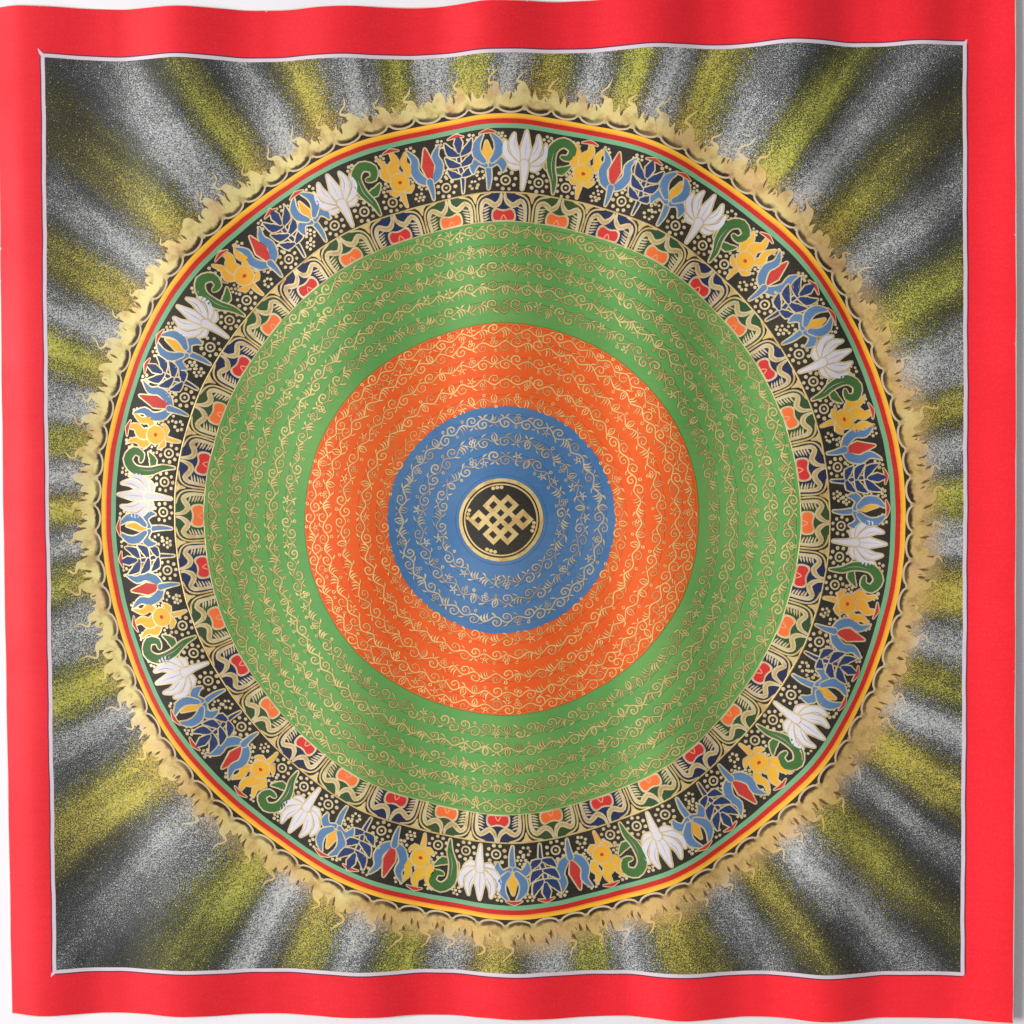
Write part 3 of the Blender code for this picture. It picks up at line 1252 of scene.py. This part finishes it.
def petal(brushes, angle, field, core, rng):
    """One petal: a coloured field, two curls that end in combs, and a cushion of colour at its foot."""
    place = around(GREEN, angle, lean=rng.uniform(-0.03, 0.03))
    brushes[field].fill(place, PETAL_FIELD)
    for points in (PETAL_RIM, mirrored(PETAL_RIM)):
        brushes["gold"].line(place, points, [1.0, 0.9, 0.9, 1.0, 0.8])
    for side in (1, -1):
        curl = [(side * x, y) for x, y in shaken(rng, PETAL_CURL, 0.2, 0.25)]
        brushes["curls"].line(place, curl, PETAL_CURL_WIDTHS)
        brushes["cores"].line(place, curl[1:7], [0.4, 1.0, 1.3, 1.3, 1.2, 0.5])
        for tooth in range(PETAL_TEETH):
            foot = 1.2 + 1.45 * tooth + rng.uniform(-0.15, 0.15)
            tip = rng.uniform(-0.3, 0.4) - 0.12 * tooth
            points = [(side * 10.0, foot - 0.2), (side * 8.6, foot + 0.1), (side * (6.8 + tip), foot + 0.9)]
            brushes["curls"].line(place, points, [0.9, 1.0, 0.45])
    brushes["rims"].fill(place, CUSHION)
    brushes[core].fill(place, CUSHION_HEART)
    brushes["marks"].line(place, [(-1.5, 0.7), (0.0, 3.3), (1.5, 0.7)], 0.65)
    between = around(GREEN, angle + 180 / PETAL_COUNT)
    brushes["gold"].line(between, [(0.0, 14.3), (0.0, 12.6), (0.0, 9.6)], [6.4, 2.6, 0.5], blunt=True)
    if rng.random() < 0.35:
        brushes["rims"].dot(between, (0.0, 12.9), 1.9)


petal_rng = Random(21)
for number in range(PETAL_COUNT):
    field, core = (("blue", "crimson"), ("green", "orange"))[number % 2]
    petal(petal_brushes, 360 * (number + PETAL_START) / PETAL_COUNT, field, core, petal_rng)
for name, (piece_name, paint, height) in PETAL_LEVELS.items():
    petal_brushes[name].lay(piece_name, paint, TOP["petals"], height, flat=True, lift=PETAL_LIFT)

# Band of lotuses, leaves and curls: each ornament is a list of its strokes, with their widths


def pair(points, widths):
    return [(points, widths), (mirrored(points), widths)]


LOTUS = [
    *pair([(0.8, 12.8), (4.8, 11.8), (8, 14.2)], [2.4, 3.8, 0.8]),
    *pair([(1, 14), (5.8, 15.4), (8.6, 19.4), (8.7, 24.2)], [2.6, 4.2, 3.7, 0.8]),
    *pair([(0.8, 14.4), (3.9, 18), (5.6, 22.8), (5, 27.8)], [2.8, 4.2, 3.5, 0.8]),
    ([(0, 14), (0, 20.4), (0, 29.4)], [3, 5.4, 0.8]),
    ([(0, 14), (0.3, 8), (0, 0.6)], [4.2, 2.6, 0.8]),
]
FROND = [
    ([(-2.4, 11), (-5, 13.4), (-6.2, 18)], [1.8, 3.4, 0.8]),
    ([(-2.6, 12.4), (1.6, 12.4), (5.4, 15.8)], [1.8, 4.2, 0.8]),
    (
        [(-0.2, 0.6), (-1, 7), (-3.6, 14), (-3.6, 22.4), (0.6, 26.6), (4.9, 23.8), (3.6, 19.4), (0.6, 19.4)],
        [0.8, 2.8, 4.2, 4.8, 4.8, 4.2, 3.2, 1.9],
    ),
]
JEWEL_FLAMES = [
    ([(0, 10), (-0.4, 5), (0, 0.6)], [2.4, 1.9, 0.7]),
    *pair([(2.6, 15.4), (5.6, 18.6), (4.4, 22.6), (6.4, 27.4)], [2.6, 3.8, 2.8, 0.7]),
    ([(0, 16.4), (-1.2, 20.8), (1, 24.6), (-0.2, 29.6)], [5.2, 5.4, 3.6, 0.8]),
    *pair([(0.6, 9.4), (3.6, 8.6), (6, 10.6)], [1.8, 2.8, 0.7]),
]
TULIP_HEART = [([(0, 11), (0, 18), (0, 27)], [2.4, 6.6, 0.8])]
TULIP = [
    *pair([(0.5, 9.6), (4, 12.4), (5.9, 17.4), (4.7, 22.4), (7.2, 27.6)], [2.6, 4.4, 4.2, 3.4, 0.8]),
    ([(0, 10.6), (0.3, 5.6), (0, 0.6)], [3.2, 2.2, 0.7]),
]
SPRAY = [
    ([(0, 0.6), (0.6, 8), (-0.4, 16), (0, 22)], [0.8, 1.9, 2, 1.6]),
    *pair([(0.4, 9), (3.6, 10.2), (6, 13.4)], [1.4, 3.9, 0.8]),
    *pair([(0.2, 14.2), (4, 15.8), (6.4, 19.6)], [1.5, 4.2, 0.8]),
    *pair([(0.2, 19.4), (3.9, 21.6), (5.9, 26.4)], [1.6, 4.4, 0.8]),
    ([(0, 21), (0, 25.4), (0, 29.8)], [2, 4.6, 0.8]),
]
IRIS_HEART = [([(0, 13.6), (0, 18.4), (0, 25)], [2.6, 5, 0.8])]
IRIS = [
    ([(0, 0.6), (0.5, 6), (0, 12.4)], [0.8, 2.2, 2.8]),
    *pair([(0.8, 12.4), (4.2, 15), (6.8, 12.8), (6.9, 9.2)], [2.2, 4, 3.8, 0.9]),
    *pair([(1.6, 14.6), (4.6, 18.8), (4.7, 23.6), (1.8, 28.4)], [2.4, 4.2, 3.8, 0.9]),
]
# What stands in a group of the band: its place in degrees, its paint and its strokes
BAND_GROUP = [
    (0, "white", LOTUS),
    (5.3, "green", FROND),
    (9.9, "yellow", JEWEL_FLAMES),
    (14.8, "crimson", TULIP_HEART),
    (14.8, "light_blue", TULIP),
    (19.8, "dark_blue", SPRAY),
    (24.6, "yellow", IRIS_HEART),
    (24.6, "light_blue", IRIS),
]
BAND_GROUPS = 12
# Where the first group starts, in degrees
BAND_START = 4.0
ORNAMENT_FOOT = 1.2
BAND_LIFT = 0.02
# How far an outline shows round a stroke of colour, and round a white one
RIM = 0.7
WHITE_RIM = 0.85
BAND_COLOURS = dict(
    white=gouache("white lotus paint", (216, 210, 214), (200, 193, 198)),
    dark_blue=gouache("band blue paint", (34, 50, 94), (48, 68, 112)),
    green=gouache("band green paint", (58, 98, 44), (72, 114, 56)),
    light_blue=gouache("light blue paint", (84, 118, 156), (100, 132, 168)),
    yellow=gouache("yellow paint", (224, 174, 46), (228, 156, 48), cloud=0.8),
    crimson=crimson,
)
# Each with its place in degrees and its height over the band's foot
ROSETTES = [(2.7, 6.2), (7.6, 6), (17.3, 6.2), (27.3, 6.2)]
DOT_CLUSTERS = [
    (-3.5, 27.8), (3.4, 27.6), (7.7, 27.6), (7.4, 13.8), (12.4, 4.6), (12.1, 14.6), (12.6, 27.8),
    (17.5, 13.6), (17.6, 28.2), (22.2, 4.8), (22.4, 14), (22.2, 28), (13.4, 10), (23, 9.2),
]
LOTUS_VEINS = [
    ([(3.2, 17.8), (5, 22), (4.9, 26)], [0.2, 0.7, 0.2]),
    ([(4.6, 15.2), (7.4, 18.6), (7.9, 22)], [0.2, 0.7, 0.2]),
]
ROSETTE_DOTS = 9
ROSETTE_REACH = 4.5
CLUSTER_DOTS = 6
CLUSTER_REACH = 1.95


def rosette(brush, place, rng):
    brush.ring(place, (0, 0), 2.15, 0.95, 14)
    brush.dot(place, (0, 0), 1.4)
    turn = rng.uniform(0, pi)
    for count in range(ROSETTE_DOTS):
        angle = turn + 2 * pi * count / ROSETTE_DOTS
        reach = ROSETTE_REACH * rng.uniform(0.94, 1.06)
        brush.dot(place, (reach * cos(angle), reach * sin(angle)), rng.uniform(1.7, 2.1))


def dot_cluster(brush, place, rng):
    """A ring of dots, at times with one in its middle."""
    for count in range(rng.choice((CLUSTER_DOTS, CLUSTER_DOTS + 1))):
        angle = 2 * pi * (count + rng.uniform(-0.15, 0.15)) / CLUSTER_DOTS
        reach = CLUSTER_REACH * rng.uniform(0.85, 1.15) if count < CLUSTER_DOTS else 0.1
        brush.dot(place, (1.1 * reach * cos(angle), reach * sin(angle)), rng.uniform(1.4, 1.9))


band_brushes = {name: Brush() for name in BAND_COLOURS}
band_rims, band_dots, band_veins = Brush(), Brush(), Brush()
band_rng = Random(5)


def outlined(paint, place, points, widths, rim, layer):
    """A stroke of colour over a wider stroke that shows as its outline."""
    for brush, wider in ((band_rims, 2 * rim), (band_brushes[paint], 0.0)):
        brush.line(place, points, [width + wider for width in widths], layer=layer, step=2.0)


def in_band(height, angle):
    """Puts a small drawing at a height over the band's foot."""
    return around(PETALS + height, angle)


for number in range(BAND_GROUPS):
    start = 360 * number / BAND_GROUPS + BAND_START
    for offset, paint, strokes in BAND_GROUP:
        angle = start + offset + band_rng.uniform(-0.25, 0.25)
        size = band_rng.uniform(0.97, 1.03)
        place = around(PETALS + ORNAMENT_FOOT, angle, size, lean=band_rng.uniform(-0.04, 0.04))
        rim = WHITE_RIM if paint == "white" else RIM
        for layer, (points, widths) in enumerate(strokes):
            outlined(paint, place, points, widths, rim, layer + 2)
        if paint == "white":
            band_veins.line(place, [(0.0, 15.0), (0.0, 20.0), (0.0, 25.5)], [0.3, 0.8, 0.2])
            for points, widths in LOTUS_VEINS:
                for side in (points, mirrored(points)):
                    band_veins.line(place, side, widths)
        if strokes is JEWEL_FLAMES:
            for brush, width in ((band_rims, 5.4), (band_brushes[paint], 4.2)):
                brush.ring(place, (0.0, 13.4), 2.5, width, 18, layer=8)
            band_brushes["crimson"].dot(place, (0.0, 13.4), 2.0, layer=9)
        if paint == "green":
            band_veins.line(place, [(-1.2, 7.0), (-3.3, 14.0), (-3.2, 21.0)], [0.2, 0.6, 0.2])
    for offset, height in ROSETTES:
        rosette(band_dots, in_band(height, start + offset + band_rng.uniform(-0.2, 0.2)), band_rng)
    for offset, height in DOT_CLUSTERS:
        dot_cluster(band_dots, in_band(height, start + offset + band_rng.uniform(-0.3, 0.3)), band_rng)
    for offset in (7.5, 22.3):
        place = in_band(20.6, start + offset)
        band_dots.straight(place, [(-1.5, 0.0), (0.0, 2.3), (1.5, 0.0), (0.0, -2.3)], 0.7, closed=True)
        band_dots.dot(place, (0.0, 0.0), 0.9)
    for offset in (9.9, 19.8, 24.6):
        crest = [(-4.2, -0.7), (0.0, 0.2), (4.2, -0.7)]
        outlined("crimson", in_band(30.4, start + offset), crest, [0.4, 1.9, 0.4], 0.45, 9)

band_rims.lay("band_gold_outlines", pale_gold, TOP["band"], 0.05, flat=True, lift=BAND_LIFT)
for name, brush in band_brushes.items():
    brush.lay(f"band_{name}_ornaments", BAND_COLOURS[name], TOP["band"], 0.06, flat=True, lift=BAND_LIFT)
band_dots.lay("band_rosettes", pale_gold, TOP["band"], 0.04, flat=True)
shade_lines = gouache("grey petal lines", (176, 160, 160), (150, 138, 132))
band_veins.lay("band_petal_lines", shade_lines, TOP["band"] + 0.15, 0.12)

# Flames on their scalloped bed

SCALLOPS = 94
SCALLOP_CUSP = 206.4
SCALLOP_SAG = 3.5
SCALLOP_ROUNDNESS = 0.60
FLAME_FOOT = 206.8
# The bed of gold that the flames stand in: the radius of its ragged edge, and the ragged waves
BED_EDGE = 211.0
BED_RAGS = [(0.5, 94, 0, 1.0), (0.4, 171, 0, 0.0), (0.3, 259, 0, 2.0)]


def scallop_radius(angle):
    """The scalloped line under the flames: arcs that bulge inward between outward cusps."""
    phase = np.mod(np.asarray(angle) / (2 * pi) * SCALLOPS, 1.0)
    return SCALLOP_CUSP - SCALLOP_SAG * (4 * phase * (1 - phase)) ** SCALLOP_ROUNDNESS


def bed_radius(angle):
    return BED_EDGE + ripples(BED_RAGS, angle)


# A flame over a cusp: its low shoulder, its dome, the spike beside it, its wisp, and the notches round it
SHOULDERS = [
    [(-7.4, -1.5), (-7, 3.6), (-6, 6.6), (-4.2, 7.3), (-2.4, 5.6), (-1.4, -1.5)],
    [(-7.2, -1.5), (-7, 2.8), (-6.4, 5.4), (-5, 6.2), (-3.2, 4.6), (-1.4, -1.5)],
]
DOMES = [
    [(-2.8, -1.5), (-3, 4.6), (-2.2, 8), (-0.4, 10), (1.5, 9.4), (2.8, 6.8), (3.2, 3), (3.6, -1.5)],
    [(-3.4, -1.5), (-3.8, 4.4), (-3, 7.4), (-1, 9.2), (1.2, 8.6), (2.9, 6), (3.4, 2.6), (3.8, -1.5)],
]
SPIKES = [
    [(5.4, -0.5), (5.6, 2.6), (5, 5), (5.7, 7.7)],
    [(5.6, -0.5), (5.4, 2.8), (6, 5.6), (5.3, 8.6)],
    [(5.2, -0.5), (5.2, 2.6), (4.7, 4.6), (5.4, 6.6)],
]
WISPS = [
    [(1, 8), (0.4, 9.6), (-1.4, 10.3), (-3.4, 10.9), (-2.9, 12.8), (-1.4, 14.8), (0.8, 17.6)],
    [(0.8, 7.4), (-0.2, 9), (-2.2, 9.6), (-4, 10.6), (-3.2, 12.6), (-1.2, 14.4), (-0.2, 18.4)],
    [(0.8, 7.6), (0, 9.2), (-1.6, 9.8), (-2.8, 10.6), (-2.6, 12), (-1.2, 13.2), (0.2, 14.6)],
]
NOTCHES = [
    ([(-3.4, 9.3), (-2.8, 7.8), (-2.6, 6.2)], [0.4, 1.4, 0.7]),
    ([(3.2, 7.6), (3.5, 5.4), (3.8, 3.2)], [0.4, 1.3, 0.5]),
    ([(7.5, 6.2), (7.3, 4.3), (7.1, 2.4)], [0.5, 1.6, 0.6]),
    ([(-5.4, 5.2), (-5.1, 4.2), (-5, 3)], [0.3, 0.8, 0.3]),
]
SPIKE_WIDTHS = [4.4, 3.2, 1.8, 0.5]
WISP_WIDTHS = [2.4, 2.2, 1.5, 1.2, 1.0, 0.9, 0.4]
FLAME_SHAKE = 0.35
WISP_SHARE = 0.85
NOTCH_SHARE = 0.6

flame_paint = flame_gold()
bed_top = TOP["band"] + 0.06
ring_film("flame_bed", scallop_radius, bed_radius, bed_top, flame_paint, segments=8 * SCALLOPS)
flames, notches, scallops = Brush(), Brush(), Brush()
flame_rng = Random(11)


def wild(points):
    return shaken(flame_rng, points, FLAME_SHAKE, FLAME_SHAKE)


for number in range(SCALLOPS):
    angle = 360 * (number - 0.04 + flame_rng.uniform(-0.1, 0.1)) / SCALLOPS
    place = around(FLAME_FOOT, angle, flame_rng.uniform(0.86, 1.14), lean=flame_rng.uniform(-0.18, 0.08))
    flames.fill(place, wild(flame_rng.choice(SHOULDERS)))
    flames.fill(place, wild(flame_rng.choice(DOMES)))
    flames.line(place, wild(flame_rng.choice(SPIKES)), SPIKE_WIDTHS)
    if flame_rng.random() < WISP_SHARE:
        flames.line(place, wild(flame_rng.choice(WISPS)), WISP_WIDTHS)
    for points, widths in NOTCHES:
        if flame_rng.random() < NOTCH_SHARE:
            notches.line(place, wild(points), [width * flame_rng.uniform(0.5, 1.1) for width in widths])
    turns = (number + np.linspace(0.02, 0.98, 9)) * 2 * pi / SCALLOPS
    scallops.line(on_sheet, polar(scallop_radius(turns), turns), 1.05, step=3.0)
brown = gouache("brown shade", (98, 74, 38), (126, 94, 48))
cream = gouache("cream line", (210, 188, 150), (190, 160, 118))
flames.lay("flame_tongues", flame_paint, TOP["band"], 0.07, flat=True)
notches.lay("flame_notches", brown, TOP["band"] + 0.09, 0.05, flat=True)
scallops.lay("scalloped_line", cream, TOP["band"] + 0.05, 0.11, flat=True)

# Keyline, with a thin dark line outside it. The brush ran past three of its corners.

KEYLINE_WIDTH = 1.9
SHADOW_OFFSET = 1.25
SHADOW_WIDTH = 0.7
TIPS = [((-1, 1), (-1, 1), 3.4), ((-1, -1), (-1, -1), 2.6), ((1, 1), (0.6, 1), 2.0)]


def keyline_corner(right, up):
    return KEYLINE_CENTRE[0] + right * KEYLINE_HALF, KEYLINE_CENTRE[1] + up * KEYLINE_HALF


keyline, shadow_line = Brush(), Brush()
turning = [(-1, -1), (-1, 1), (1, 1), (1, -1), (-1, -1)]
outward = [(-1, 0), (0, 1), (1, 0), (0, -1)]
for ends, (right, up) in zip(pairwise(turning), outward):
    side = [keyline_corner(*end) for end in ends]
    beside = [(x + SHADOW_OFFSET * right, y + SHADOW_OFFSET * up) for x, y in side]
    keyline.line(on_sheet, side, KEYLINE_WIDTH)
    shadow_line.line(on_sheet, beside, SHADOW_WIDTH)
for corner, (right, up), reach in TIPS:
    x, y = keyline_corner(*corner)
    tip = [(x + reach * right * a, y + reach * up * b) for a, b in ((0, 0), (0.4, 0.45), (0.7, 1))]
    keyline.line(on_sheet, tip, [2.0, 1.3, 0.3])
plum = gouache("plum line", (104, 40, 62), (128, 44, 66))
pale = gouache("pale keyline paint", (216, 200, 208), (203, 188, 196))
shadow_line.lay("keyline_shadow", plum, TOP["ground"], 0.05, flat=True)
keyline.lay("keyline", pale, TOP["ground"], 0.10, flat=True)

# Floor, light and camera

LENS = 39.02
SENSOR = 36.0
CAMERA_PLACE = (0.0155, 0.0134, 0.5565)
CAMERA_TURN = (-0.02345, 0.02054, -0.00465)
WINDOW_PLACE = (-2.5, 0.10, 1.75)
WINDOW_SIZE = 1.3
WINDOW_POWER = 118.0
SKY = (0.97, 0.98, 1.0, 1.0)
SKY_STRENGTH = 0.36


def pale_floor():
    drawing = bmesh.new()
    bmesh.ops.create_grid(drawing, x_segments=8, y_segments=8, size=2.0)
    mesh = mesh_of(drawing, "floor")
    made = Material("pale floor", flat=False)
    tone = made.step(made.noise(made.place, 3, 3, 0.5), 0.3, 0.7)
    colour = made.blend(tone, (232, 227, 230), (236, 231, 234))
    mesh.materials.append(made.finish(colour, 0.7, shine=PLAIN))
    show("floor", mesh)


def studio():
    """A soft square light from one side, an even sky, and a camera over the sheet's middle."""
    scene = bpy.context.scene
    world = bpy.data.worlds.new("studio")
    world.use_nodes = True
    sky = world.node_tree.nodes["Background"].inputs
    sky["Color"].default_value = SKY
    sky["Strength"].default_value = SKY_STRENGTH
    scene.world = world
    lamp = bpy.data.lights.new("window light", "AREA")
    lamp.shape = "SQUARE"
    lamp.size = WINDOW_SIZE
    lamp.energy = WINDOW_POWER
    light = show("window light", lamp)
    light.location = WINDOW_PLACE
    light.rotation_euler = (-light.location).to_track_quat("-Z", "Y").to_euler()
    lens = bpy.data.cameras.new("camera")
    lens.lens = LENS
    lens.sensor_width = SENSOR
    camera = show("camera", lens)
    camera.location = CAMERA_PLACE
    camera.rotation_euler = CAMERA_TURN
    scene.camera = camera
    scene.view_settings.view_transform = "Standard"
    scene.view_settings.look = "None"


pale_floor()
studio()

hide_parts("canvas")
